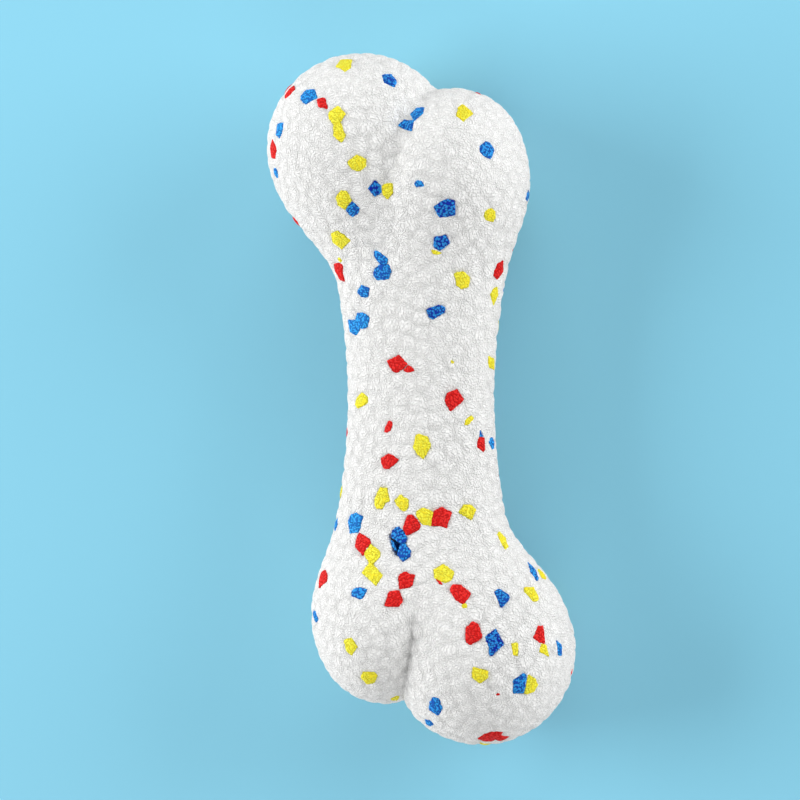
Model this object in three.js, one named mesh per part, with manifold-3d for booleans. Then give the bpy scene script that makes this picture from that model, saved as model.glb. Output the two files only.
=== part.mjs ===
// Bone-shaped dog toy of moulded bead foam, in millimetres.
// It lies flat on z = 0 and its middle is at x = y = 0. X runs along the bone, Y across it, Z up.
// The white foam is one solid. Each coloured bead is a separate pebble in a pocket of the foam.

import * as THREE from 'three';
import { mergeVertices } from 'three/addons/utils/BufferGeometryUtils.js';
import Module from 'manifold-3d';

const wasm = await Module();
wasm.setup();

// Size of the bone
const LENGTH = 155;
const SHAFT_WIDTH = 33;
const SHAFT_THICKNESS = 25;
const LOBE_THICKNESS = 41.4;

// The outer lobe of each end reaches furthest, and the smaller inner lobe lies beside it.
// Turning the bone half round about Z brings one end onto the other.
const OUTER_LOBE_RADIUS = 21;
const OUTER_LOBE_OUT = 13.9;
const INNER_LOBE_RADIUS = 15.7;
const INNER_LOBE_OUT = 7.4;
const INNER_LOBE_BACK = 3.6;

// The shaft swells towards the lobes, and soft fillets join everything
const SHAFT_STRAIGHT = 63;
const SHAFT_SWELL_SHARE = 0.66;
const SHAFT_END_POWER = 1.5;
const SHAFT_FILLET = 11.2;
const CREASE_FILLET = 2;

// Each lobe is flat where it rests
const REST_FLAT_DEPTH = 0.5;

// Coloured beads: pebbles with five to seven sides, about as deep as wide, flush with the foam
const BEAD_RADIUS = 2.15;
const BEAD_DEPTH = 3.4;
const BEAD_WAIST_DEPTH = 1.6;
const BEAD_FLOOR_RADIUS = 1.3;
const BEAD_PROUD = 0.9;
const BEAD_UNEVEN_SHARE = 0.12;
const BEAD_LEAST_SIDES = 5;
const BEAD_SIDE_CHOICES = 3;
const POCKET_GAP = 0.3;

// The body's skin: columns round it, rows along it, rows on each end, and how much they gather
const SKIN_COLUMNS = 48;
const SKIN_ROWS = 26;
const SKIN_END_ROWS = 7;
const COLUMN_GATHER_SHARE = 0.4;
const ROW_GATHER_SHARE = 0.35;
const CREASE_RUN = 18;
const SURFACE_STEPS = 40;
const NORMAL_PROBE = 0.05;

// The photograph looks down on the bone, leaned a little to one side, with +X up the picture
const PHOTO_LEAN_DEG = -13.8;
const PHOTO_MIDDLE_PX = [421, 398.5];
const PHOTO_LENGTH_PX = 690;
const PHOTO_WIDTH_PX = 311;

// Bead centres in the photograph, in pixels across and down
const RED_SEEN_PX = [
  [289, 92], [297, 221], [339, 272], [499, 271], [398, 364], [454, 401], [482, 445],
  [390, 461], [442, 517], [363, 543], [460, 593], [471, 630], [539, 634], [493, 734],
];
const YELLOW_SEEN_PX = [
  [344, 66], [337, 117], [464, 116], [357, 164], [343, 201], [490, 217], [340, 240],
  [462, 281], [362, 401], [469, 420], [422, 447], [382, 498], [373, 572], [503, 540],
  [531, 593], [370, 676], [479, 673],
];
const BLUE_SEEN_PX = [
  [389, 81], [310, 97], [487, 152], [445, 210], [363, 292], [436, 312], [356, 523],
  [399, 536], [502, 596], [494, 642], [519, 681],
];

// Bead centres on the side that faces away, in the same pixels, as if seen through the bone
const RED_HIDDEN_PX = [[315, 150], [420, 262], [452, 430], [352, 560], [548, 640]];
const YELLOW_HIDDEN_PX = [[365, 85], [500, 200], [380, 330], [430, 520], [330, 640], [470, 710]];
const BLUE_HIDDEN_PX = [[335, 215], [480, 112], [470, 350], [385, 445], [500, 560], [375, 690]];

const COLOURS = { foam: 0xf2f2ee, red: 0xd81e28, yellow: 0xf0dc28, blue: 0x1f6fc8 };
const FOAM_ROUGHNESS = 0.6;
const BEAD_ROUGHNESS = 0.45;

const UNEVEN_SHARES = [12.9898, 43758.5453];
const UP = new THREE.Vector3(0, 0, 1);
const PEBBLE_AXIS = new THREE.Vector3(0, 1, 0);
const MIDDLE_HEIGHT = LOBE_THICKNESS / 2 - REST_FLAT_DEPTH;
const OUTER_CENTRE = new THREE.Vector3(LENGTH / 2 - OUTER_LOBE_RADIUS, OUTER_LOBE_OUT, 0);
const INNER_CENTRE = new THREE.Vector3(OUTER_CENTRE.x - INNER_LOBE_BACK, -INNER_LOBE_OUT, 0);
const LOBES_ALONG = (OUTER_CENTRE.x + INNER_CENTRE.x) / 2;
const WIDTH = 2 * (OUTER_LOBE_OUT + OUTER_LOBE_RADIUS);

// The same value every time for the same number, spread evenly from 0 to 1
function unevenShare(number) {
  const wave = Math.sin(number * UNEVEN_SHARES[0]) * UNEVEN_SHARES[1];
  return wave - Math.floor(wave);
}

function softMin(a, b, fillet) {
  const meet = Math.max(fillet - Math.abs(a - b), 0) / fillet;
  return Math.min(a, b) - meet * meet * fillet / 4;
}

function lobeField(point, centre, radius, end) {
  const rise = point.z * radius / (LOBE_THICKNESS / 2);
  return Math.hypot(point.x - end * centre.x, point.y - end * centre.y, rise) - radius;
}

function endField(point, end) {
  const outer = lobeField(point, OUTER_CENTRE, OUTER_LOBE_RADIUS, end);
  const inner = lobeField(point, INNER_CENTRE, INNER_LOBE_RADIUS, end);
  return softMin(outer, inner, CREASE_FILLET);
}

function shaftField(point) {
  const swell = 1 + SHAFT_SWELL_SHARE * (point.x / LOBES_ALONG) ** 2;
  const past = Math.max(Math.abs(point.x) - SHAFT_STRAIGHT / 2, 0) / (SHAFT_WIDTH / 2);
  const across = point.y / (SHAFT_WIDTH / 2);
  const rise = point.z / (SHAFT_THICKNESS / 2);
  return (Math.hypot(past ** SHAFT_END_POWER, across, rise) - swell) * SHAFT_THICKNESS / 2;
}

// Below zero inside the bone and above zero outside it, about the bone's own middle
function boneField(point) {
  const ends = Math.min(endField(point, 1), endField(point, -1));
  return softMin(ends, shaftField(point), SHAFT_FILLET);
}

// The surface point between a point inside the bone and a point outside it
function surfaceBetween(inside, outside) {
  const near = inside.clone();
  const far = outside.clone();
  for (let step = 0; step < SURFACE_STEPS; step += 1) {
    const middle = near.clone().lerp(far, 0.5);
    if (boneField(middle) < 0) near.copy(middle);
    else far.copy(middle);
  }
  return near;
}

function surfaceNormal(point) {
  const slope = (axis) => {
    const ahead = point.clone();
    const behind = point.clone();
    ahead[axis] += NORMAL_PROBE;
    behind[axis] -= NORMAL_PROBE;
    return boneField(ahead) - boneField(behind);
  };
  return new THREE.Vector3(slope('x'), slope('y'), slope('z')).normalize();
}

// The line that the skin's columns are cast from, which follows the crease between the lobes
function makeSpine() {
  const apart = INNER_CENTRE.clone().sub(OUTER_CENTRE);
  const radii = OUTER_LOBE_RADIUS ** 2 - INNER_LOBE_RADIUS ** 2;
  const share = (1 + radii / apart.lengthSq()) / 2;
  const tip = OUTER_CENTRE.clone().addScaledVector(apart, share);
  const along = UP.clone().cross(apart).normalize();
  const root = tip.clone().addScaledVector(along, -CREASE_RUN);
  return new THREE.CatmullRomCurve3([
    tip.clone().negate(), root.clone().negate(), new THREE.Vector3(), root, tip,
  ]);
}

// Removes triangles that have two corners in one place
function withoutSlivers(geometry) {
  const kept = [];
  const index = geometry.index.array;
  for (let i = 0; i < index.length; i += 3) {
    const [a, b, c] = index.slice(i, i + 3);
    if (a !== b && b !== c && c !== a) kept.push(a, b, c);
  }
  geometry.setIndex(kept);
  return geometry;
}

function shared(geometry) {
  geometry.deleteAttribute('normal');
  geometry.deleteAttribute('uv');
  return withoutSlivers(mergeVertices(geometry));
}

function toSolid(geometry) {
  const mesh = new wasm.Mesh({
    numProp: 3,
    vertProperties: new Float32Array(geometry.attributes.position.array),
    triVerts: new Uint32Array(geometry.index.array),
  });
  return new wasm.Manifold(mesh);
}

function toGeometry(solid) {
  const mesh = solid.getMesh();
  const geometry = new THREE.BufferGeometry();
  geometry.setAttribute('position', new THREE.BufferAttribute(mesh.vertProperties, 3));
  geometry.setIndex(new THREE.BufferAttribute(mesh.triVerts, 1));
  geometry.computeVertexNormals();
  return geometry;
}

// A capsule round the spine, with every corner moved along its own ray to the bone's surface
function makeSkin() {
  const spine = makeSpine();
  const run = spine.getLength();
  const capsule = new THREE.CapsuleGeometry(
    OUTER_LOBE_RADIUS, run, SKIN_END_ROWS, SKIN_COLUMNS, SKIN_ROWS);
  const skin = shared(capsule);
  const corners = skin.attributes.position;
  for (let i = 0; i < corners.count; i += 1) {
    const corner = new THREE.Vector3().fromBufferAttribute(corners, i);
    const along = THREE.MathUtils.clamp(corner.y / (run / 2), -1, 1);
    const gathered = along + ROW_GATHER_SHARE * Math.sin(Math.PI * along) / Math.PI;
    const place = (gathered + 1) / 2;
    const forward = spine.getTangentAt(place);
    const aside = forward.clone().cross(UP).normalize();
    const around = Math.atan2(corner.z, corner.x);
    const turned = around + COLUMN_GATHER_SHARE * Math.sin(2 * around) / 2;
    const outward = Math.hypot(corner.x, corner.z);
    const ray = new THREE.Vector3()
      .addScaledVector(aside, outward * Math.cos(turned))
      .addScaledVector(UP, outward * Math.sin(turned))
      .addScaledVector(forward, corner.y - along * run / 2)
      .setLength(LENGTH);
    const origin = spine.getPointAt(place);
    const surface = surfaceBetween(origin, origin.clone().add(ray));
    corners.setXYZ(i, surface.x, surface.y, surface.z + MIDDLE_HEIGHT);
  }
  return toSolid(skin);
}

function makeFloor() {
  const floor = new THREE.BoxGeometry(2 * LENGTH, 2 * LENGTH, LENGTH);
  floor.translate(0, 0, -LENGTH / 2);
  return toSolid(shared(floor));
}

// One pebble about the origin with its axis outward. Grown makes room round it.
function makePebble(number, grown) {
  const sides = BEAD_LEAST_SIDES + Math.floor(BEAD_SIDE_CHOICES * unevenShare(number));
  const wider = grown / Math.cos(Math.PI / sides);
  const profile = [
    new THREE.Vector2(0, -BEAD_DEPTH - grown),
    new THREE.Vector2(BEAD_FLOOR_RADIUS + wider, -BEAD_DEPTH - grown),
    new THREE.Vector2(BEAD_RADIUS + wider, -BEAD_WAIST_DEPTH - grown),
    new THREE.Vector2(BEAD_RADIUS + wider, BEAD_PROUD),
    new THREE.Vector2(0, BEAD_PROUD),
  ];
  const pebble = shared(new THREE.LatheGeometry(profile, sides));
  const corners = pebble.attributes.position;
  for (let i = 0; i < corners.count; i += 1) {
    const turn = Math.atan2(corners.getX(i), corners.getZ(i)) / (2 * Math.PI);
    const side = (Math.round(turn * sides) + sides) % sides;
    const wide = 1 + BEAD_UNEVEN_SHARE * (2 * unevenShare(number + side / sides) - 1);
    corners.setXYZ(i, corners.getX(i) * wide, corners.getY(i), corners.getZ(i) * wide);
  }
  pebble.rotateY(2 * Math.PI * unevenShare(number / 2));
  return pebble;
}

// The surface point behind a pixel. Facing is 1 on the side that the photograph shows, else -1.
function seenPoint([across, down], facing) {
  const lean = THREE.MathUtils.degToRad(PHOTO_LEAN_DEG);
  const left = new THREE.Vector3(0, Math.cos(lean), -Math.sin(lean));
  const toward = new THREE.Vector3(0, Math.sin(lean), Math.cos(lean)).multiplyScalar(facing);
  const along = LENGTH * (PHOTO_MIDDLE_PX[1] - down) / PHOTO_LENGTH_PX;
  const leftward = WIDTH * (PHOTO_MIDDLE_PX[0] - across) / PHOTO_WIDTH_PX;
  const flat = new THREE.Vector3(along, 0, 0).addScaledVector(left, leftward);
  const core = new THREE.Vector3(along * LOBES_ALONG / (LENGTH / 2), 0, 0);
  const reach = LOBE_THICKNESS;
  const inner = nearestToBone(flat, toward, reach);
  if (boneField(inner) < 0) {
    return surfaceBetween(inner, flat.clone().addScaledVector(toward, reach));
  }
  return surfaceBetween(core, inner);
}

// The place on a sight line where the bone is deepest, or nearest if the line passes it by
function nearestToBone(flat, toward, reach) {
  let best = flat;
  for (let step = -SURFACE_STEPS; step <= SURFACE_STEPS; step += 1) {
    const point = flat.clone().addScaledVector(toward, reach * step / SURFACE_STEPS);
    if (boneField(point) < boneField(best)) best = point;
  }
  return best;
}

function makePlaces() {
  const places = [];
  const add = (colour, seen, hidden) => {
    const points = [
      ...seen.map((pixel) => seenPoint(pixel, 1)),
      ...hidden.map((pixel) => seenPoint(pixel, -1)),
    ];
    points.forEach((point, i) => {
      const name = `${colour}_bead_${String(i + 1).padStart(2, '0')}`;
      places.push({ name, colour, point, number: places.length + 1 });
    });
  };
  add('red', RED_SEEN_PX, RED_HIDDEN_PX);
  add('yellow', YELLOW_SEEN_PX, YELLOW_HIDDEN_PX);
  add('blue', BLUE_SEEN_PX, BLUE_HIDDEN_PX);
  return places;
}

// A pebble, or the room round it, seated in the surface at its place
function seatedPebble(place, grown) {
  const normal = surfaceNormal(place.point);
  const pebble = makePebble(place.number, grown);
  pebble.applyQuaternion(new THREE.Quaternion().setFromUnitVectors(PEBBLE_AXIS, normal));
  pebble.translate(place.point.x, place.point.y, place.point.z + MIDDLE_HEIGHT);
  return toSolid(pebble);
}

function makeMesh(name, geometry, color, roughness) {
  const material = new THREE.MeshStandardMaterial({ color, roughness, metalness: 0 });
  const mesh = new THREE.Mesh(geometry, material);
  mesh.name = name;
  return mesh;
}

// A bead is the bone's own solid where its pebble lies, clear of the pebbles seated before it
function makeBead(place, solid, taken) {
  let bead = seatedPebble(place, 0).intersect(solid);
  for (const room of taken) bead = bead.subtract(room);
  const centre = place.point.clone().addScaledVector(UP, MIDDLE_HEIGHT);
  const geometry = toGeometry(bead);
  geometry.translate(-centre.x, -centre.y, -centre.z);
  const mesh = makeMesh(place.name, geometry, COLOURS[place.colour], BEAD_ROUGHNESS);
  mesh.position.copy(centre);
  return mesh;
}

function makeToy() {
  const toy = new THREE.Group();
  const solid = makeSkin().subtract(makeFloor());
  const beads = [];
  const rooms = [];
  for (const place of makePlaces()) {
    beads.push(makeBead(place, solid, rooms));
    rooms.push(seatedPebble(place, POCKET_GAP));
  }
  let foam = solid;
  for (const room of rooms) foam = foam.subtract(room);
  toy.add(makeMesh('foam_body', toGeometry(foam), COLOURS.foam, FOAM_ROUGHNESS));
  toy.add(...beads);
  return toy;
}

export default makeToy();
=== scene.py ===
"""The looks of the bone-shaped foam dog toy, in metres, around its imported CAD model.

The white foam is one skin of domed beads. Each coloured bead is a flat-sided pebble of its own.
"""

import math

import bpy
import numpy as np
from mathutils import Matrix, Vector, noise
from mathutils.kdtree import KDTree


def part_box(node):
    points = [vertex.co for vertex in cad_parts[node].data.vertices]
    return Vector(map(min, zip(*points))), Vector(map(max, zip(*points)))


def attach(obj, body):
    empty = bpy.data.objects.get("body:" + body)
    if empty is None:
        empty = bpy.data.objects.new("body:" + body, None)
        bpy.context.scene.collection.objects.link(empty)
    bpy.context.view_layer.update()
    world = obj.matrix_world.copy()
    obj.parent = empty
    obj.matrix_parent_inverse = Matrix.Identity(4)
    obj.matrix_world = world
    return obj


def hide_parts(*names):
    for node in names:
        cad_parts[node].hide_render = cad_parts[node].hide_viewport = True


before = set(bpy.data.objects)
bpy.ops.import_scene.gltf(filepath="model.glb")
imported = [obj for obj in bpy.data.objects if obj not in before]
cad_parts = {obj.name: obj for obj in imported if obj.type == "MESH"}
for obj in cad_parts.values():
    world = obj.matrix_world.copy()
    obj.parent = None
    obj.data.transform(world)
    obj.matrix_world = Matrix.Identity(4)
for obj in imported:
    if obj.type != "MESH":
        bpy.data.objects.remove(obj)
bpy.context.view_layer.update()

# The bone's sizes, as in the CAD model. Turning it half round about Z brings one end onto the other.
LENGTH = 0.155
SHAFT_WIDTH = 0.033
SHAFT_THICKNESS = 0.025
LOBE_THICKNESS = 0.0414
OUTER_LOBE_RADIUS = 0.021
OUTER_LOBE_OUT = 0.0139
INNER_LOBE_RADIUS = 0.0157
INNER_LOBE_OUT = 0.0074
INNER_LOBE_BACK = 0.0036
SHAFT_STRAIGHT = 0.063
SHAFT_SWELL_SHARE = 0.66
SHAFT_END_POWER = 1.5
SHAFT_FILLET = 0.0112
CREASE_FILLET = 0.002
REST_FLAT_DEPTH = 0.0005

MIDDLE_HEIGHT = LOBE_THICKNESS / 2 - REST_FLAT_DEPTH
OUTER_ALONG = LENGTH / 2 - OUTER_LOBE_RADIUS
INNER_ALONG = OUTER_ALONG - INNER_LOBE_BACK
LOBES_ALONG = (OUTER_ALONG + INNER_ALONG) / 2

# How the surface is searched for: the step that finds its slope, how far and how often a point is moved
# onto it, how often a stretch across it is halved, and how many points a line of sight has
PROBE = 0.00002
LONGEST_STEP = 0.0006
SETTLE_STEPS = 8
HALVINGS = 40
SIGHT_STEPS = 161

# The upper inner lobe stands a little further out in the photograph than the lower one
UPPER_LOBE_PUSH = 0.0009

# The folds between the lobes are a little deeper in the foam's skin than in the CAD model: a soft valley
# at the upper end, and a crisp line at the lower one
VALLEY_DEPTH = 0.0012
VALLEY_WIDTH = 0.006
VALLEY_ASIDE = 0.003
VALLEY_START = 0.025
VALLEY_RUN = 0.011
VALLEY_END = 0.064
LINE_DEPTH = 0.0014
LINE_WIDTH = 0.0016
LINE_START = 0.045
LINE_RUN = 0.011

# The mesh that the skin starts from: columns round it, rows along it and rings over each end
ROUGH_COLUMNS = 96
ROUGH_ROWS = 90
ROUGH_END_RINGS = 24

# The skin's mesh and its white beads
SKIN_STEP = 0.00046
WHITE_BEAD_SPACING = 0.0027
BEAD_DOME = 0.00026
DOME_UNEVEN = 0.4
BEAD_REACH = 0.00168
BEAD_LIFT = 0.00005
LIFT_SLOPE = 0.0004
LUMP = 0.00004
LUMP_SIZE = 0.0009
NEAREST_SEEDS = 4

# Painted shade in the hollows between white beads: how dark it is, and how much that differs from bead to
# bead
HOLLOW_PAINTED_SHADE = 0.7
HOLLOW_SHADE_UNEVEN = 0.4

# The skin round a coloured bead: it rounds off toward the bead and drops to a pocket below it
EDGE_ROUND = 0.0012
POCKET_DEPTH = 0.0006
POCKET_SLOPE = 0.0004
POCKET_SEARCH_SHARE = 1.5

# How much deeper the bead in the gap lies, and how much wider its pocket is
GAP_DEPTH = 0.0024
GAP_MARGIN = 0.0006

# Coloured beads. The rings are shares of the outline: those of the face, and those of the sides' foot.
PEBBLE_RADIUS = 0.0021
PEBBLE_RIM = 0.00005
PEBBLE_DOME_SHARE = 0.9
PEBBLE_SKIRT = 0.0026
FACE_RINGS = (0.3, 0.55, 0.76, 0.9, 1.0)
FOOT_RINGS = (1.0, 0.9)
RIM_STEP = 0.00035
RIM_RAGGED = 0.0001

# Where the surface's normal is this near to +X, its two directions are taken from the photograph's left
STEEP = 0.9

# Beads whose outline isn't read from the photograph
SIDE_CHOICES = (5, 8)
TURN_UNEVEN = 0.22
CORNER_SHARES = (0.86, 1.12)
STRETCH_SHARES = (0.88, 1.12)
HIDDEN_RADIUS_SHARES = (0.75, 1.05)
HIDDEN_BEAD_SPACING = 0.0085
HIDDEN_FACING = -0.16

# A bead of the CAD model stands for the one in the photograph that is at most this far from it
SAME_BEAD_REACH = 0.0018

# How far the wrinkles are drawn out along each bead's own lay
GRAIN_STRETCH = 0.45
COLOURED_GRAIN_SHARE = 0.6
GRAIN_SLOPE = 0.0007

# The photograph is square, +X runs up it, and it is taken to be made through a long lens
PHOTO_SIDE_PX = 800
PHOTO_MIDDLE_PX = (421, 398.5)
PHOTO_LENGTH_PX = 690
PHOTO_LEAN = math.radians(-13.8)
PX = LENGTH / PHOTO_LENGTH_PX
UP = np.array([1.0, 0.0, 0.0])
LEFT = np.array([0.0, math.cos(PHOTO_LEAN), -math.sin(PHOTO_LEAN)])
TOWARD = np.array([0.0, math.sin(PHOTO_LEAN), math.cos(PHOTO_LEAN)])
LENS_MM = 500
SENSOR_MM = 36
CLIP_SHARES = (0.1, 10)

# How the foam's colour and gloss follow its wrinkles, the colour darker in their troughs as painted
# shade, how much the tone with its painted shade and sheen counts, and the faint lumps under them
TONE_AND_LIGHT_SHARE = 0.38
TROUGH_ROUGHNESS = 0.85
CREST_ROUGHNESS = 0.6
SOFT_LUMP_SIZE = 0.0014
SOFT_LUMP_STRENGTH = 0.4
SOFT_LUMP_DEPTH = 0.0005

# The sockets of a Mix node that mixes colours
MIX_LOW = 6
MIX_HIGH = 7
MIX_RESULT = 2

# The studio. Each lamp has its direction, size and power.
FLOOR_HALF = 4
FLOOR_SEEN = (0.258, 0.62, 0.795)
FLOOR_BOUNCE = (0.55, 0.55, 0.56)
FLOOR_ROUGHNESS = 0.9
WORLD_STRENGTH = 0.33
LAMP_DISTANCE = 1.1
LAMPS = {
    "left_lamp": ((0.1, 1, 0.45), 0.8, 12.5),
    "right_lamp": ((0.4, -1, 0.3), 0.8, 10.6),
    "top_lamp": ((1, -0.1, 0.45), 0.6, 3),
    "bottom_lamp": ((-1, -0.2, 0.3), 0.6, 4),
}

# Every random draw comes from one seeded source
SEED = 11
random = np.random.default_rng(SEED)


# The bone's shape

def soft_min(a, b, fillet):
    meet = np.maximum(fillet - np.abs(a - b), 0) / fillet
    return np.minimum(a, b) - meet * meet * fillet / 4


def lobe_field(points, along, out, radius, end):
    rise = points[:, 2] * radius / (LOBE_THICKNESS / 2)
    aside = points[:, 1] - end * out
    return np.sqrt((points[:, 0] - end * along) ** 2 + aside ** 2 + rise ** 2) - radius


def lobe_fields(points, end):
    outer = lobe_field(points, OUTER_ALONG, OUTER_LOBE_OUT, OUTER_LOBE_RADIUS, end)
    inner_along = INNER_ALONG + max(end, 0) * UPPER_LOBE_PUSH
    inner = lobe_field(points, inner_along, -INNER_LOBE_OUT, INNER_LOBE_RADIUS, end)
    return outer, inner


def end_field(points, end):
    return soft_min(*lobe_fields(points, end), CREASE_FILLET)


def eased(share):
    share = np.clip(share, 0, 1)
    return share * share * (3 - 2 * share)


def valley_field(points):
    """How far the soft valley between the upper lobes sinks into the surface."""
    outer, inner = lobe_fields(points, 1)
    start = eased((points[:, 0] - VALLEY_START) / VALLEY_RUN)
    stop = eased((VALLEY_END - points[:, 0]) / VALLEY_RUN)
    return VALLEY_DEPTH * np.exp(-((outer - inner + VALLEY_ASIDE) / VALLEY_WIDTH) ** 2) * start * stop


def line_field(points):
    """How far the crisp line between the lower lobes sinks into the surface."""
    outer, inner = lobe_fields(points, -1)
    reach = eased((-points[:, 0] - LINE_START) / LINE_RUN)
    return LINE_DEPTH * np.exp(-np.abs(outer - inner) / LINE_WIDTH) * reach


def shaft_field(points):
    swell = 1 + SHAFT_SWELL_SHARE * (points[:, 0] / LOBES_ALONG) ** 2
    past = np.maximum(np.abs(points[:, 0]) - SHAFT_STRAIGHT / 2, 0) / (SHAFT_WIDTH / 2)
    across = points[:, 1] / (SHAFT_WIDTH / 2)
    rise = points[:, 2] / (SHAFT_THICKNESS / 2)
    reach = np.sqrt(past ** (2 * SHAFT_END_POWER) + across ** 2 + rise ** 2)
    return (reach - swell) * SHAFT_THICKNESS / 2


def bone_field(points):
    """Below zero inside the bone and above zero outside it."""
    local = points - np.array([0, 0, MIDDLE_HEIGHT])
    ends = np.minimum(end_field(local, 1), end_field(local, -1))
    return soft_min(ends, shaft_field(local), SHAFT_FILLET) + valley_field(local) + line_field(local)


def bone_slope(points):
    slope = np.empty_like(points)
    for axis in range(3):
        step = np.zeros(3)
        step[axis] = PROBE
        slope[:, axis] = (bone_field(points + step) - bone_field(points - step)) / (2 * PROBE)
    return slope


def unit(vectors):
    return vectors / np.linalg.norm(vectors, axis=-1, keepdims=True)


def settle(points, direction=None):
    """Moves points onto the bone's surface, along its slope or along one direction."""
    for _ in range(SETTLE_STEPS):
        slope = bone_slope(points)
        way = unit(slope) if direction is None else np.broadcast_to(direction, points.shape)
        step = np.clip(bone_field(points) / (slope * way).sum(1), -LONGEST_STEP, LONGEST_STEP)
        points = points - way * step[:, None]
    return points


def between(inside, outside):
    """The surface points between points inside the bone and points outside it."""
    for _ in range(HALVINGS):
        middle = (inside + outside) / 2
        within = (bone_field(middle) < 0)[:, None]
        inside = np.where(within, middle, inside)
        outside = np.where(within, outside, middle)
    return inside


def seen(pixels):
    """The surface points that the photograph shows at pixels."""
    pixels = np.asarray(pixels, float).reshape(-1, 2)
    flat = (PHOTO_MIDDLE_PX[1] - pixels[:, 1:]) * PX * UP
    flat = flat + (PHOTO_MIDDLE_PX[0] - pixels[:, :1]) * PX * LEFT
    flat[:, 2] += MIDDLE_HEIGHT
    steps = np.linspace(1, -1, SIGHT_STEPS) * LOBE_THICKNESS
    found = np.empty_like(flat)
    for i, start in enumerate(flat):
        line = start + steps[:, None] * TOWARD
        depth = bone_field(line)
        hits = np.flatnonzero(depth < 0)
        if len(hits):
            first = hits[0]
            found[i] = between(line[first:first + 1], line[first - 1:first])[0]
        else:
            nearest = np.argmin(depth)
            found[i] = settle(line[nearest:nearest + 1])[0]
    return found


# The white skin

def rough_bone():
    """A closed mesh near the bone's surface: rings along it and a fan of rings over each end."""
    columns = ROUGH_COLUMNS
    turns = np.linspace(0, 2 * math.pi, columns, endpoint=False)
    low_leans = np.linspace(-math.pi / 2, 0, ROUGH_END_RINGS)[1:-1]
    high_leans = np.linspace(0, math.pi / 2, ROUGH_END_RINGS)[1:-1]
    ring_places = [(-LOBES_ALONG, lean) for lean in low_leans]
    ring_places += [(x, 0) for x in np.linspace(-LOBES_ALONG, LOBES_ALONG, ROUGH_ROWS)]
    ring_places += [(LOBES_ALONG, lean) for lean in high_leans]
    origins = []
    ways = []
    for x, lean in ring_places:
        for turn in turns:
            aside = math.cos(lean) * math.cos(turn)
            rise = math.cos(lean) * math.sin(turn)
            origins.append((x, 0, MIDDLE_HEIGHT))
            ways.append((math.sin(lean), aside, rise))
    for end in (-1, 1):
        origins.append((end * LOBES_ALONG, 0, MIDDLE_HEIGHT))
        ways.append((end, 0, 0))
    origins = np.array(origins)
    points = between(origins, origins + np.array(ways) * LENGTH)
    count = len(ring_places)
    faces = []
    for row in range(count - 1):
        for column in range(columns):
            a = row * columns + column
            b = row * columns + (column + 1) % columns
            faces.append((a, b, b + columns, a + columns))
    last = (count - 1) * columns
    for column in range(columns):
        after = (column + 1) % columns
        faces.append((count * columns, after, column))
        faces.append((count * columns + 1, last + column, last + after))
    return points, faces


def even_skin():
    """The bone's surface as small, nearly even quads."""
    points, faces = rough_bone()
    mesh = bpy.data.meshes.new("rough")
    mesh.from_pydata(points.tolist(), [], faces)
    rough = bpy.data.objects.new("rough", mesh)
    bpy.context.scene.collection.objects.link(rough)
    remesh = rough.modifiers.new("even", "REMESH")
    remesh.mode = "VOXEL"
    remesh.voxel_size = SKIN_STEP
    graph = bpy.context.evaluated_depsgraph_get()
    even = bpy.data.meshes.new_from_object(rough.evaluated_get(graph))
    found = np.empty(len(even.vertices) * 3)
    even.vertices.foreach_get("co", found)
    quads = [tuple(face.vertices) for face in even.polygons]
    bpy.data.objects.remove(rough)
    bpy.data.meshes.remove(mesh)
    bpy.data.meshes.remove(even)
    return settle(found.reshape(-1, 3)), quads


def scatter(points, taken, spacing):
    """Picks points at random that keep their spacing to each other and to those taken before."""
    grid = {}

    def box_of(point):
        return tuple((point // spacing).astype(int))

    def clear(point):
        x, y, z = box_of(point)
        for i in range(x - 1, x + 2):
            for j in range(y - 1, y + 2):
                for k in range(z - 1, z + 2):
                    for other in grid.get((i, j, k), ()):
                        if (point - other) @ (point - other) < spacing * spacing:
                            return False
        return True

    for point in taken:
        grid.setdefault(box_of(point), []).append(point)
    picked = []
    for index in random.permutation(len(points)):
        point = points[index]
        if clear(point):
            grid.setdefault(box_of(point), []).append(point)
            picked.append(point)
    return np.array(picked)


def tree_of(points):
    tree = KDTree(len(points))
    for i, point in enumerate(points):
        tree.insert(point, i)
    tree.balance()
    return tree


def relaxed(seeds, fixed, points):
    """Moves each seed to the middle of the points that are nearest to it."""
    everything = np.vstack([seeds, fixed])
    tree = tree_of(everything)
    owners = np.array([tree.find(point)[1] for point in points])
    sums = np.zeros_like(everything)
    np.add.at(sums, owners, points)
    counts = np.bincount(owners, minlength=len(everything))[:, None]
    moved = np.where(counts > 0, sums / np.maximum(counts, 1), everything)
    return settle(moved[:len(seeds)])


def cells(points, seeds):
    """Each point's own seed, its distance from it and how far it lies inside that seed's cell."""
    tree = tree_of(seeds)
    owners = np.empty(len(points), int)
    away = np.empty(len(points))
    inside = np.empty(len(points))
    for i, point in enumerate(points):
        first, *others = tree.find_n(point, NEAREST_SEEDS)
        owners[i] = first[1]
        away[i] = first[2]
        inside[i] = min(
            (other[2] ** 2 - first[2] ** 2) / (2 * (other[0] - first[0]).length) for other in others)
    return owners, away, inside


def rounded(inside):
    """The height of a coloured bead's face by the distance inside its edge."""
    share = 1 - np.clip(inside / EDGE_ROUND, 0, 1)
    return BEAD_DOME * (1 - share ** 2)


# Coloured beads

def axes_at(centre):
    """The bone's normal at a place, and two directions along its surface."""
    normal = unit(bone_slope(centre[None]))[0]
    aside = unit(np.cross(normal, UP if abs(normal[0]) < STEEP else LEFT))
    return normal, aside, np.cross(normal, aside)


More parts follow.
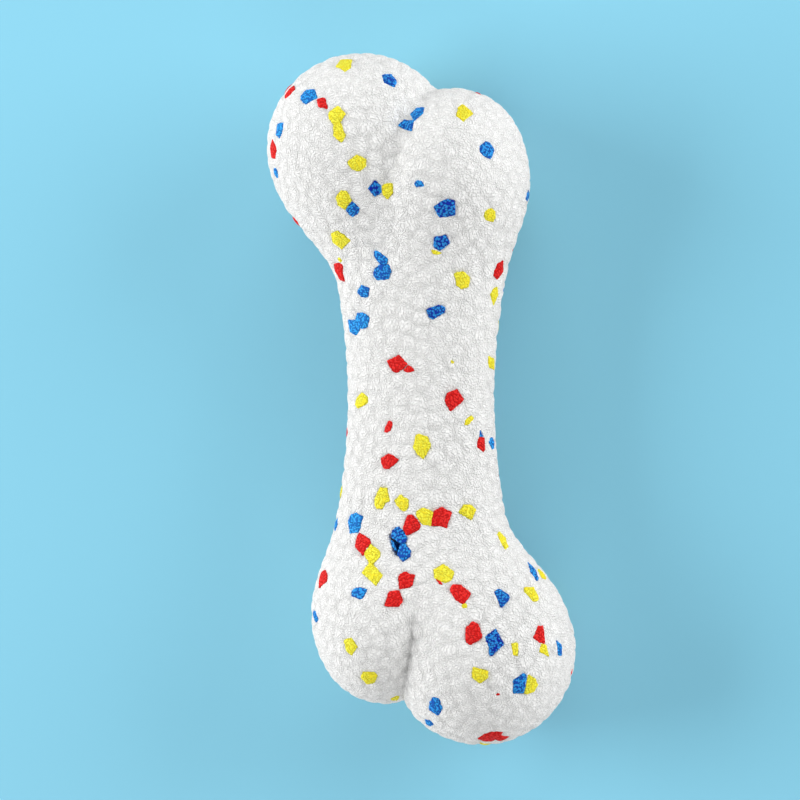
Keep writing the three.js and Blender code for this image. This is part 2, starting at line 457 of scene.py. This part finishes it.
def pebble_outline(radius):
    """An uneven flat-sided outline about its middle."""
    sides = int(random.integers(*SIDE_CHOICES))
    turns = (np.arange(sides) + random.uniform(-TURN_UNEVEN, TURN_UNEVEN, sides)) * 2 * math.pi / sides
    reach = radius * random.uniform(*CORNER_SHARES, sides)
    stretch = random.uniform(*STRETCH_SHARES)
    spin = random.uniform(0, 2 * math.pi)
    outline = np.column_stack([np.cos(turns) * reach * stretch, np.sin(turns) * reach / stretch])
    turned = np.array([[math.cos(spin), -math.sin(spin)], [math.sin(spin), math.cos(spin)]])
    return outline @ turned.T


def edge_distance(flat, outline):
    """How far flat points lie outside an outline, below zero inside it."""
    nearest = np.full(len(flat), np.inf)
    inside = np.zeros(len(flat), bool)
    for start, stop in zip(outline, np.roll(outline, -1, axis=0)):
        side = stop - start
        share = np.clip(((flat - start) @ side) / (side @ side), 0, 1)
        nearest = np.minimum(nearest, np.linalg.norm(flat - start - share[:, None] * side, axis=1))
        level = (start[1] > flat[:, 1]) != (stop[1] > flat[:, 1])
        cross = start[0] + (flat[:, 1] - start[1]) * side[0] / (side[1] or PROBE)
        inside ^= level & (flat[:, 0] < cross)
    return np.where(inside, -nearest, nearest)


def rim_of(outline):
    """Close points along the outline's sides, a little ragged."""
    rim = []
    for start, stop in zip(outline, np.roll(outline, -1, axis=0)):
        steps = max(2, round(np.linalg.norm(stop - start) / RIM_STEP))
        for share in (np.arange(steps) + 0.5) / steps:
            rim.append(start + share * (stop - start))
    rim = np.array(rim)
    return rim + random.uniform(-RIM_RAGGED, RIM_RAGGED, rim.shape)


def pebble(bead):
    """One bead: a domed face that follows the bone, and sides that go down into the foam."""
    normal, aside, ahead = axes_at(bead.centre)
    rim = rim_of(bead.outline)
    flat = np.vstack([rim * share for share in FACE_RINGS + FOOT_RINGS] + [np.zeros((2, 2))])
    count = len(rim)
    rings = len(FACE_RINGS + FOOT_RINGS)
    foot = len(FACE_RINGS) * count
    places = settle(bead.centre + flat[:, :1] * aside + flat[:, 1:] * ahead, normal)
    top = PEBBLE_RIM + PEBBLE_DOME_SHARE * rounded(np.maximum(-edge_distance(flat, bead.outline), 0))
    top[foot - count:foot] = PEBBLE_RIM
    top[foot:-2] = -PEBBLE_SKIRT
    top[-1] = -PEBBLE_SKIRT
    places = places + normal * (top - bead.sunk)[:, None]
    places[:, 2] = np.maximum(places[:, 2], 0)
    faces = []
    for ring in range(rings - 1):
        for i in range(count):
            a = ring * count + i
            b = ring * count + (i + 1) % count
            faces.append((a, a + count, b + count, b))
    middle = rings * count
    last = (rings - 1) * count
    for i in range(count):
        after = (i + 1) % count
        faces.append((middle, i, after))
        faces.append((middle + 1, last + after, last + i))
    return places, faces


# Materials

def node(tree, kind, **values):
    made = tree.nodes.new(kind)
    for name, value in values.items():
        if name in made.inputs:
            made.inputs[name].default_value = value
        else:
            setattr(made, name, value)
    return made


def mixed(tree, share, low, high):
    """A colour that goes from low to high as the share goes from 0 to 1."""
    mix = node(tree, "ShaderNodeMix", data_type="RGBA")
    mix.inputs[MIX_LOW].default_value = (*low, 1)
    mix.inputs[MIX_HIGH].default_value = (*high, 1)
    tree.links.new(share, mix.inputs[0])
    return mix.outputs[MIX_RESULT]


def foam_material(name, colour, painted_shade_colour, look):
    """Foam beads: wrinkles that lie another way on each bead, with painted shade in their troughs, and
    tones that differ, which also carry painted shade in the hollows and painted sheen.
    """
    material = bpy.data.materials.new(name)
    material.use_nodes = True
    tree = material.node_tree
    link = tree.links.new
    shader = tree.nodes["Principled BSDF"]
    shader.inputs["Specular IOR Level"].default_value = look["gloss"]
    place = node(tree, "ShaderNodeTexCoord").outputs["Object"]
    along_beads = node(tree, "ShaderNodeAttribute", attribute_name="grain").outputs["Vector"]
    tone_and_painted_light = node(tree, "ShaderNodeAttribute", attribute_name="tone_and_painted_light").outputs["Fac"]
    fine = node(tree, "ShaderNodeTexVoronoi", Scale=1 / look["size"])
    link(along_beads, fine.inputs["Vector"])
    ridge = node(tree, "ShaderNodeMapRange", interpolation_type="SMOOTHSTEP")
    ridge.inputs["From Min"].default_value = look["crest"]
    ridge.inputs["From Max"].default_value = look["trough"]
    ridge.inputs["To Min"].default_value = 1.0
    ridge.inputs["To Max"].default_value = 0.0
    link(fine.outputs["Distance"], ridge.inputs["Value"])
    lumps = node(tree, "ShaderNodeTexNoise", Scale=1 / SOFT_LUMP_SIZE, Detail=2.0, Roughness=0.5)
    link(place, lumps.inputs["Vector"])
    soft = node(tree, "ShaderNodeBump", Strength=SOFT_LUMP_STRENGTH, Distance=SOFT_LUMP_DEPTH)
    link(lumps.outputs["Fac"], soft.inputs["Height"])
    crisp = node(tree, "ShaderNodeBump", Strength=1.0, Distance=look["depth"])
    link(ridge.outputs[0], crisp.inputs["Height"])
    link(soft.outputs[0], crisp.inputs["Normal"])
    link(crisp.outputs[0], shader.inputs["Normal"])
    # The tone carries painted shade in the white skin's hollows and painted sheen on the coloured beads
    weighted_tone_and_light = node(tree, "ShaderNodeMath", operation="MULTIPLY")
    weighted_tone_and_light.inputs[1].default_value = TONE_AND_LIGHT_SHARE
    link(tone_and_painted_light, weighted_tone_and_light.inputs[0])
    tone_and_shade_mix = node(tree, "ShaderNodeMath", operation="MULTIPLY_ADD")
    tone_and_shade_mix.inputs[1].default_value = 1 - TONE_AND_LIGHT_SHARE
    link(ridge.outputs[0], tone_and_shade_mix.inputs[0])
    link(weighted_tone_and_light.outputs[0], tone_and_shade_mix.inputs[2])
    # Troughs and low tones take the darker colour: painted shade
    link(mixed(tree, tone_and_shade_mix.outputs[0], painted_shade_colour, colour), shader.inputs["Base Color"])
    rough = node(tree, "ShaderNodeMapRange")
    rough.inputs["To Min"].default_value = TROUGH_ROUGHNESS
    rough.inputs["To Max"].default_value = CREST_ROUGHNESS
    link(ridge.outputs[0], rough.inputs["Value"])
    link(rough.outputs[0], shader.inputs["Roughness"])
    return material


def floor_material():
    """A plain pale blue to the eye and in reflections, and a neutral grey to the light it bounces."""
    material = bpy.data.materials.new("pale_floor")
    material.use_nodes = True
    tree = material.node_tree
    shader = tree.nodes["Principled BSDF"]
    shader.inputs["Roughness"].default_value = FLOOR_ROUGHNESS
    shader.inputs["Specular IOR Level"].default_value = 0.0
    path = node(tree, "ShaderNodeLightPath")
    in_sight = path.outputs["Is Camera Ray"]
    for ray in ("Is Glossy Ray", "Is Transmission Ray"):
        either = node(tree, "ShaderNodeMath", operation="MAXIMUM")
        tree.links.new(in_sight, either.inputs[0])
        tree.links.new(path.outputs[ray], either.inputs[1])
        in_sight = either.outputs[0]
    tree.links.new(mixed(tree, in_sight, FLOOR_BOUNCE, FLOOR_SEEN), shader.inputs["Base Color"])
    return material


# Foam objects

def foam_piece(name, node_name, shape, material):
    """One foam object, in place of a CAD node if it has one. Its material reads a grain, and a tone that
    carries painted shade and sheen.
    """
    points, faces, grain, tone_and_painted_light = shape
    mesh = bpy.data.meshes.new(name)
    mesh.from_pydata(points.tolist(), [], faces)
    mesh.shade_smooth()
    mesh.attributes.new("grain", "FLOAT_VECTOR", "POINT").data.foreach_set("vector", grain.ravel())
    mesh.attributes.new("tone_and_painted_light", "FLOAT", "POINT").data.foreach_set("value", tone_and_painted_light)
    mesh.materials.append(material)
    piece = bpy.data.objects.new(name, mesh)
    bpy.context.scene.collection.objects.link(piece)
    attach(piece, "root")
    if node_name:
        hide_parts(node_name)


def joined(shapes):
    """Several shapes as one."""
    faces = []
    start = 0
    for points, own_faces, _, _ in shapes:
        faces += [tuple(corner + start for corner in face) for face in own_faces]
        start += len(points)
    points, grain, tone_and_painted_light = (np.concatenate([shape[k] for shape in shapes]) for k in (0, 2, 3))
    return points, faces, grain, tone_and_painted_light


# A foam's colours on its crests and in its troughs. The darker trough colour is painted shade in the
# wrinkles and the hollows; on the coloured beads it is also their mottling.
WHITE = ((0.97, 0.97, 0.96), (0.74, 0.74, 0.73))
COLOURS = {
    "red": ((1.0, 0.026, 0.022), (0.62, 0.002, 0.002)),
    "yellow": ((1.0, 0.98, 0.07), (0.96, 0.79, 0.024)),
    "blue": ((0.028, 0.42, 1.0), (0.001, 0.012, 0.33)),
}

# A coloured bead's least tone, and how much paler it is where it faces the photograph's left and right,
# toward the side lamps: painted sheen
BEAD_TONES_AND_SHEEN = {"red": (0.1, 0.6, 0.0), "yellow": (0.1, 0.6, 0.0), "blue": (-0.08, 1.1, 0.6)}
BEAD_TONE_UNEVEN = 0.35

# The wrinkles' size and depth, how far from a wrinkle's middle its crest ends and its trough begins as
# shares of its size, and the gloss
WHITE_LOOK = {"size": 0.00044, "depth": 0.00021, "crest": 0.33, "trough": 0.74, "gloss": 0.12}
COLOURED_LOOK = {"size": 0.00047, "depth": 0.00034, "crest": 0.4, "trough": 0.68, "gloss": 0.2}

# Beads as the photograph shows them, each an outline of pixels read off it
BEAD_OUTLINES_PX = {
    "red": [
        [(317, 101), (322, 99), (326, 100), (328, 110), (319, 109)],
        [(334, 264), (339, 263), (343, 265), (343, 273), (345, 282), (340, 280), (335, 271)],
        [(497, 264), (503, 261), (503, 272), (497, 280), (493, 276)],
        [(387, 361), (399, 355), (408, 364), (403, 369), (397, 373), (392, 371)],
        [(408, 365), (412, 367), (415, 371), (408, 373), (403, 371)],
        [(447, 393), (457, 389), (464, 400), (450, 412), (444, 401)],
        [(389, 420), (393, 423), (391, 430), (387, 433), (384, 431), (386, 425)],
        [(479, 437), (484, 437), (485, 450), (483, 452), (477, 447), (477, 441)],
        [(389, 453), (399, 459), (395, 464), (388, 469), (384, 469), (381, 462), (381, 458)],
        [(441, 506), (452, 512), (448, 522), (447, 528), (439, 525), (431, 525), (433, 511)],
        [(408, 514), (413, 514), (421, 524), (419, 529), (406, 535), (403, 528), (405, 520)],
        [(359, 532), (370, 538), (371, 543), (366, 548), (363, 555), (355, 546), (356, 539)],
        [(398, 576), (401, 572), (406, 570), (410, 573), (415, 573), (413, 582), (411, 586), (399, 588)],
        [(321, 573), (325, 569), (327, 573), (327, 581), (319, 588), (319, 581)],
        [(435, 577), (440, 580), (443, 584), (438, 582)],
        [(389, 590), (399, 589), (403, 599), (399, 605), (386, 605), (384, 603), (387, 596)],
        [(452, 583), (460, 583), (471, 592), (463, 603), (455, 598), (449, 589)],
        [(465, 626), (472, 619), (478, 622), (482, 635), (470, 643), (465, 640)],
        [(537, 624), (542, 624), (544, 642), (539, 641), (532, 636)],
        [(477, 737), (484, 732), (493, 732), (495, 738), (492, 740), (484, 740)],
        [(493, 732), (509, 735), (505, 738), (499, 740), (495, 738)],
    ],
    "yellow": [
        [(336, 67), (341, 60), (352, 60), (351, 69), (345, 73)],
        [(329, 114), (338, 107), (346, 115), (341, 124), (334, 127), (329, 120)],
        [(334, 127), (341, 124), (346, 137), (342, 145), (334, 138)],
        [(458, 109), (462, 106), (470, 112), (473, 116), (467, 120), (463, 124), (456, 118)],
        [(347, 164), (357, 156), (367, 161), (366, 169), (359, 173), (352, 171)],
        [(382, 187), (388, 184), (393, 185), (393, 195), (387, 201), (382, 195)],
        [(336, 198), (341, 192), (347, 192), (352, 202), (345, 211), (338, 206)],
        [(485, 212), (491, 209), (495, 213), (495, 219), (493, 223), (485, 221), (483, 217)],
        [(331, 234), (338, 231), (351, 241), (342, 250), (333, 243)],
        [(431, 250), (442, 254), (438, 256), (432, 255)],
        [(454, 274), (463, 272), (470, 278), (468, 288), (461, 290), (456, 286)],
        [(493, 289), (497, 287), (498, 295), (493, 306), (490, 295)],
        [(488, 356), (494, 359), (494, 370), (489, 368)],
        [(356, 399), (362, 392), (368, 397), (368, 403), (358, 409), (355, 405)],
        [(464, 425), (465, 420), (471, 415), (474, 418), (468, 425)],
        [(416, 434), (420, 434), (428, 437), (431, 446), (423, 459), (417, 454), (413, 447)],
        [(380, 487), (387, 487), (390, 500), (385, 503), (382, 509), (376, 508), (374, 500)],
        [(401, 494), (409, 500), (408, 508), (404, 511), (400, 509), (394, 500)],
        [(463, 504), (470, 504), (476, 509), (471, 520), (466, 517), (458, 512)],
        [(416, 511), (423, 507), (433, 511), (431, 525), (422, 524), (416, 515)],
        [(371, 543), (380, 550), (380, 556), (373, 563), (369, 562), (364, 553)],
        [(369, 562), (373, 563), (383, 574), (376, 585), (371, 580), (362, 572)],
        [(433, 568), (443, 563), (454, 570), (452, 578), (445, 582), (434, 577)],
        [(499, 531), (505, 537), (508, 546), (505, 549), (500, 541), (497, 534)],
        [(523, 586), (533, 586), (538, 597), (537, 600), (532, 600), (524, 591)],
        [(344, 638), (352, 636), (358, 645), (352, 654), (347, 650)],
        [(363, 670), (374, 670), (378, 674), (375, 681), (367, 683), (361, 676)],
        [(390, 698), (394, 696), (399, 695), (399, 698), (397, 700), (392, 700)],
        [(510, 641), (517, 640), (517, 654), (512, 653)],
        [(540, 642), (545, 643), (548, 655), (538, 650)],
        [(472, 664), (487, 668), (488, 675), (479, 681), (471, 675)],
        [(527, 672), (534, 676), (537, 683), (533, 690), (526, 692), (523, 691)],
        [(480, 742), (492, 742), (489, 746), (481, 746)],
    ],
    "blue": [
        [(382, 76), (391, 75), (397, 82), (395, 89), (384, 84)],
        [(301, 97), (306, 91), (315, 90), (318, 99), (306, 106), (301, 101)],
        [(410, 116), (417, 109), (424, 109), (423, 115), (414, 123)],
        [(398, 127), (404, 121), (414, 122), (412, 133), (400, 129)],
        [(278, 124), (284, 123), (283, 132), (280, 139), (276, 136)],
        [(479, 148), (485, 143), (489, 144), (494, 152), (490, 161), (483, 158), (479, 154)],
        [(368, 190), (375, 181), (381, 187), (382, 194), (375, 198)],
        [(414, 185), (417, 182), (422, 183), (424, 188), (416, 189)],
        [(528, 190), (531, 192), (530, 199), (527, 202), (525, 199)],
        [(352, 202), (360, 209), (358, 215), (352, 218), (346, 211)],
        [(433, 208), (445, 201), (455, 202), (455, 217), (439, 219)],
        [(434, 238), (446, 236), (450, 244), (440, 252), (433, 248)],
        [(374, 252), (377, 251), (388, 259), (387, 265), (380, 265), (374, 257)],
        [(380, 265), (389, 265), (391, 271), (388, 280), (377, 281), (373, 275), (375, 269)],
        [(357, 292), (362, 285), (370, 289), (368, 298), (361, 297)],
        [(426, 310), (438, 305), (445, 308), (445, 313), (433, 320), (428, 317)],
        [(357, 313), (364, 313), (370, 318), (367, 328), (361, 329), (355, 320)],
        [(348, 320), (355, 320), (361, 329), (356, 336), (350, 332)],
        [(480, 429), (483, 437), (479, 437)],
        [(351, 514), (356, 512), (363, 516), (359, 532), (350, 533), (348, 521)],
        [(395, 527), (399, 526), (404, 531), (407, 537), (406, 542), (402, 544), (396, 540), (391, 536),
         (392, 530)],
        [(390, 539), (393, 540), (396, 550), (393, 547)],
        [(400, 544), (405, 542), (411, 550), (410, 556), (403, 561), (397, 553)],
        [(352, 590), (355, 587), (360, 586), (368, 588), (363, 597), (360, 598), (352, 595)],
        [(314, 610), (316, 611), (318, 619), (316, 622), (313, 614)],
        [(527, 561), (535, 569), (538, 578), (537, 580), (530, 572)],
        [(493, 590), (498, 587), (508, 593), (509, 597), (502, 605), (500, 606), (495, 594)],
        [(484, 635), (495, 626), (503, 642), (491, 654), (488, 652), (488, 645)],
        [(555, 638), (561, 644), (561, 654), (557, 654)],
        [(512, 678), (522, 671), (526, 672), (523, 691), (512, 691)],
        [(429, 701), (433, 695), (439, 696), (442, 707), (438, 714), (429, 708)],
        [(425, 718), (430, 719), (434, 723), (430, 725), (426, 723)],
    ],
}

# Beads that go round the bone's edge in the photograph, and tiny ones: pixel and rough radius
BEAD_SPOTS_PX = {
    "red": [(287, 87, 7), (273, 150, 10), (296, 221, 7), (478, 94, 4), (571, 671, 4), (497, 692, 2)],
    "yellow": [(340, 260, 3), (341, 492, 8), (542, 574, 8), (464, 604, 3), (452, 362, 2)],
    "blue": [(276, 173, 6), (503, 290, 3), (336, 525, 7), (492, 443, 7)],
}

# A gap between three blue beads, where another lies deeper
GAP_OUTLINE_PX = [(391, 536), (396, 540), (401, 544), (399, 546), (397, 552), (395, 549), (393, 540)]


class Bead:
    """One coloured bead: its place on the bone, its outline there and how deep its face lies."""

    def __init__(self, colour, centre, outline, sunk=0.0):
        self.colour = colour
        self.centre = centre
        self.outline = outline
        self.sunk = sunk
        self.node = None


def seen_bead(colour, pixels, sunk=0.0):
    corners = seen(pixels)
    centre = settle(corners.mean(axis=0)[None])[0]
    _, aside, ahead = axes_at(centre)
    outline = np.column_stack([(corners - centre) @ aside, (corners - centre) @ ahead])
    return Bead(colour, centre, outline, sunk)


def photo_beads():
    """The coloured beads that the photograph shows."""
    beads = []
    for colour, outlines in BEAD_OUTLINES_PX.items():
        beads += [seen_bead(colour, outline) for outline in outlines]
    for colour, spots in BEAD_SPOTS_PX.items():
        for across, down, radius in spots:
            beads.append(Bead(colour, seen((across, down))[0], pebble_outline(radius * PX)))
    beads.append(seen_bead("blue", GAP_OUTLINE_PX, GAP_DEPTH))
    return beads


def name_beads(beads):
    """Gives each bead of the CAD model to the bead at its place, or adds one there."""
    for name in sorted(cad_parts):
        colour = name.split("_")[0]
        if colour not in COLOURS:
            continue
        low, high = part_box(name)
        centre = settle(np.array((low + high) / 2)[None])[0]
        free = [bead for bead in beads if bead.colour == colour and bead.node is None and not bead.sunk]
        nearest = min(free, key=lambda bead: np.linalg.norm(bead.centre - centre))
        if np.linalg.norm(nearest.centre - centre) > SAME_BEAD_REACH:
            nearest = Bead(colour, centre, pebble_outline(PEBBLE_RADIUS))
            beads.append(nearest)
        nearest.node = name


def add_hidden_beads(beads, points):
    """Scatters more beads over the side that the photograph doesn't show."""
    hidden = points[unit(bone_slope(points)) @ TOWARD < HIDDEN_FACING]
    spots = scatter(hidden, [bead.centre for bead in beads], HIDDEN_BEAD_SPACING)
    for i, spot in enumerate(spots):
        radius = PEBBLE_RADIUS * random.uniform(*HIDDEN_RADIUS_SHARES)
        beads.append(Bead(list(COLOURS)[i % len(COLOURS)], spot, pebble_outline(radius)))


def grain_of(points, centres, lays, share):
    """Where the wrinkles are read: drawn out along each bead's own lay by its share."""
    along = ((points - centres) * lays).sum(1) * GRAIN_STRETCH * share
    return (points - along[:, None] * lays).astype(np.float32)


def carve(points, heights, beads):
    """Lowers the skin under each coloured bead and rounds it off where it meets one."""
    tree = tree_of(points)
    gap = np.full(len(points), np.inf)
    lowered = np.zeros(len(points))
    for bead in beads:
        _, aside, ahead = axes_at(bead.centre)
        reach = np.abs(bead.outline).max() * POCKET_SEARCH_SHARE + EDGE_ROUND
        near = np.array([hit[1] for hit in tree.find_range(bead.centre, reach)])
        offset = points[near] - bead.centre
        flat = np.column_stack([offset @ aside, offset @ ahead])
        outside = edge_distance(flat, bead.outline)
        gap[near] = np.minimum(gap[near], outside)
        margin = GAP_MARGIN if bead.sunk else 0
        share = np.clip((margin - outside) / POCKET_SLOPE, 0, 1)
        lowered[near] = np.maximum(lowered[near], (POCKET_DEPTH + bead.sunk) * share)
    heights = np.minimum(heights, rounded(np.maximum(gap, 0)))
    return heights - lowered


def build_skin(points, quads, beads, seeds, lays, tones):
    """The white foam: a low dome on each bead's cell, and a pocket under each coloured bead."""
    owners, away, inside = cells(points, seeds)
    lifts = random.uniform(-BEAD_LIFT, BEAD_LIFT, len(seeds))
    domes = BEAD_DOME * random.uniform(1 - DOME_UNEVEN, 1 + DOME_UNEVEN, len(seeds))
    heights = domes[owners] * (1 - (away / BEAD_REACH) ** 2)
    heights += lifts[owners] * np.clip(inside / LIFT_SLOPE, 0, 1)
    heights += [LUMP * noise.noise(point / LUMP_SIZE) for point in points]
    heights = carve(points, heights, beads)
    skin = points + unit(bone_slope(points)) * heights[:, None]
    skin[:, 2] = np.maximum(skin[:, 2], 0)
    grain = grain_of(points, seeds[owners], lays[owners], np.clip(inside / GRAIN_SLOPE, 0, 1))
    # The hollows between white beads are made darker: painted shade
    hollow_shade = np.clip(away / BEAD_REACH, 0, 1) ** 2
    tone_and_painted_light = 1 - hollow_shade * (HOLLOW_PAINTED_SHADE - HOLLOW_SHADE_UNEVEN * tones[owners])
    white = foam_material("white_foam", *WHITE, WHITE_LOOK)
    foam_piece("foam_skin", "foam_body", (skin, quads, grain, tone_and_painted_light), white)


def build_beads(beads, lays, tones):
    """Each bead of the CAD model as its own piece, and the other beads of each colour as one more."""
    others = {colour: [] for colour in COLOURS}
    materials = {
        colour: foam_material(f"{colour}_foam", *pair, COLOURED_LOOK) for colour, pair in COLOURS.items()}
    for bead, lay, tone_and_painted_light in zip(beads, lays, tones):
        places, faces = pebble(bead)
        least, left_painted_sheen, right_painted_sheen = BEAD_TONES_AND_SHEEN[bead.colour]
        # Beads facing the left and right lamps are made paler: painted sheen
        leftward = axes_at(bead.centre)[0] @ LEFT
        tone_and_painted_light = least + BEAD_TONE_UNEVEN * tone_and_painted_light + max(left_painted_sheen * leftward, -right_painted_sheen * leftward)
        grain = grain_of(places, bead.centre, lay, COLOURED_GRAIN_SHARE)
        shape = (places, faces, grain, np.full(len(places), tone_and_painted_light))
        if bead.node:
            foam_piece(f"{bead.node}_pebble", bead.node, shape, materials[bead.colour])
        else:
            others[bead.colour].append(shape)
    for colour, shapes in others.items():
        foam_piece(f"more_{colour}_beads", None, joined(shapes), materials[colour])


def build_toy():
    points, quads = even_skin()
    beads = photo_beads()
    name_beads(beads)
    add_hidden_beads(beads, points)
    coloured = np.array([bead.centre for bead in beads])
    whites = scatter(points, coloured, WHITE_BEAD_SPACING)
    whites = relaxed(whites, coloured, points)
    seeds = np.vstack([whites, coloured])
    lays = unit(random.normal(size=(len(seeds), 3)))
    tones = random.uniform(0, 1, len(seeds))
    build_skin(points, quads, beads, seeds, lays, tones)
    build_beads(beads, lays[len(whites):], tones[len(whites):])


# Stage

def add_lamp(name, way, size, power):
    data = bpy.data.lights.new(name, "AREA")
    data.shape = "SQUARE"
    data.size = size
    data.energy = power
    lamp = bpy.data.objects.new(name, data)
    way = unit(np.array(way, float))
    lamp.location = Vector(way * LAMP_DISTANCE) + Vector((0, 0, MIDDLE_HEIGHT))
    lamp.rotation_mode = "QUATERNION"
    lamp.rotation_quaternion = Vector(way).to_track_quat("Z", "Y")
    lamp.visible_camera = False
    bpy.context.scene.collection.objects.link(lamp)


def build_stage():
    mesh = bpy.data.meshes.new("floor")
    signs = ((-1, -1), (1, -1), (1, 1), (-1, 1))
    mesh.from_pydata([(x * FLOOR_HALF, y * FLOOR_HALF, 0) for x, y in signs], [], [(0, 1, 2, 3)])
    mesh.materials.append(floor_material())
    floor = bpy.data.objects.new("floor", mesh)
    bpy.context.scene.collection.objects.link(floor)
    for name, (way, size, power) in LAMPS.items():
        add_lamp(name, way, size, power)
    world = bpy.data.worlds.new("studio")
    bpy.context.scene.world = world
    world.use_nodes = True
    light = world.node_tree.nodes["Background"]
    light.inputs["Color"].default_value = (1, 1, 1, 1)
    light.inputs["Strength"].default_value = WORLD_STRENGTH
    bpy.context.scene.view_settings.view_transform = "Standard"


def build_camera():
    data = bpy.data.cameras.new("camera")
    data.lens = LENS_MM
    data.sensor_width = SENSOR_MM
    distance = PHOTO_SIDE_PX * PX * LENS_MM / SENSOR_MM
    across = (PHOTO_MIDDLE_PX[0] - PHOTO_SIDE_PX / 2) * PX
    down = (PHOTO_SIDE_PX / 2 - PHOTO_MIDDLE_PX[1]) * PX
    target = np.array([0, 0, MIDDLE_HEIGHT]) + LEFT * across - UP * down
    camera = bpy.data.objects.new("camera", data)
    turned = Matrix((-LEFT, UP, TOWARD)).transposed().to_4x4()
    camera.matrix_world = Matrix.Translation(Vector(target + TOWARD * distance)) @ turned
    data.clip_start, data.clip_end = (distance * share for share in CLIP_SHARES)
    bpy.context.scene.collection.objects.link(camera)
    bpy.context.scene.camera = camera


build_toy()
build_stage()
build_camera()
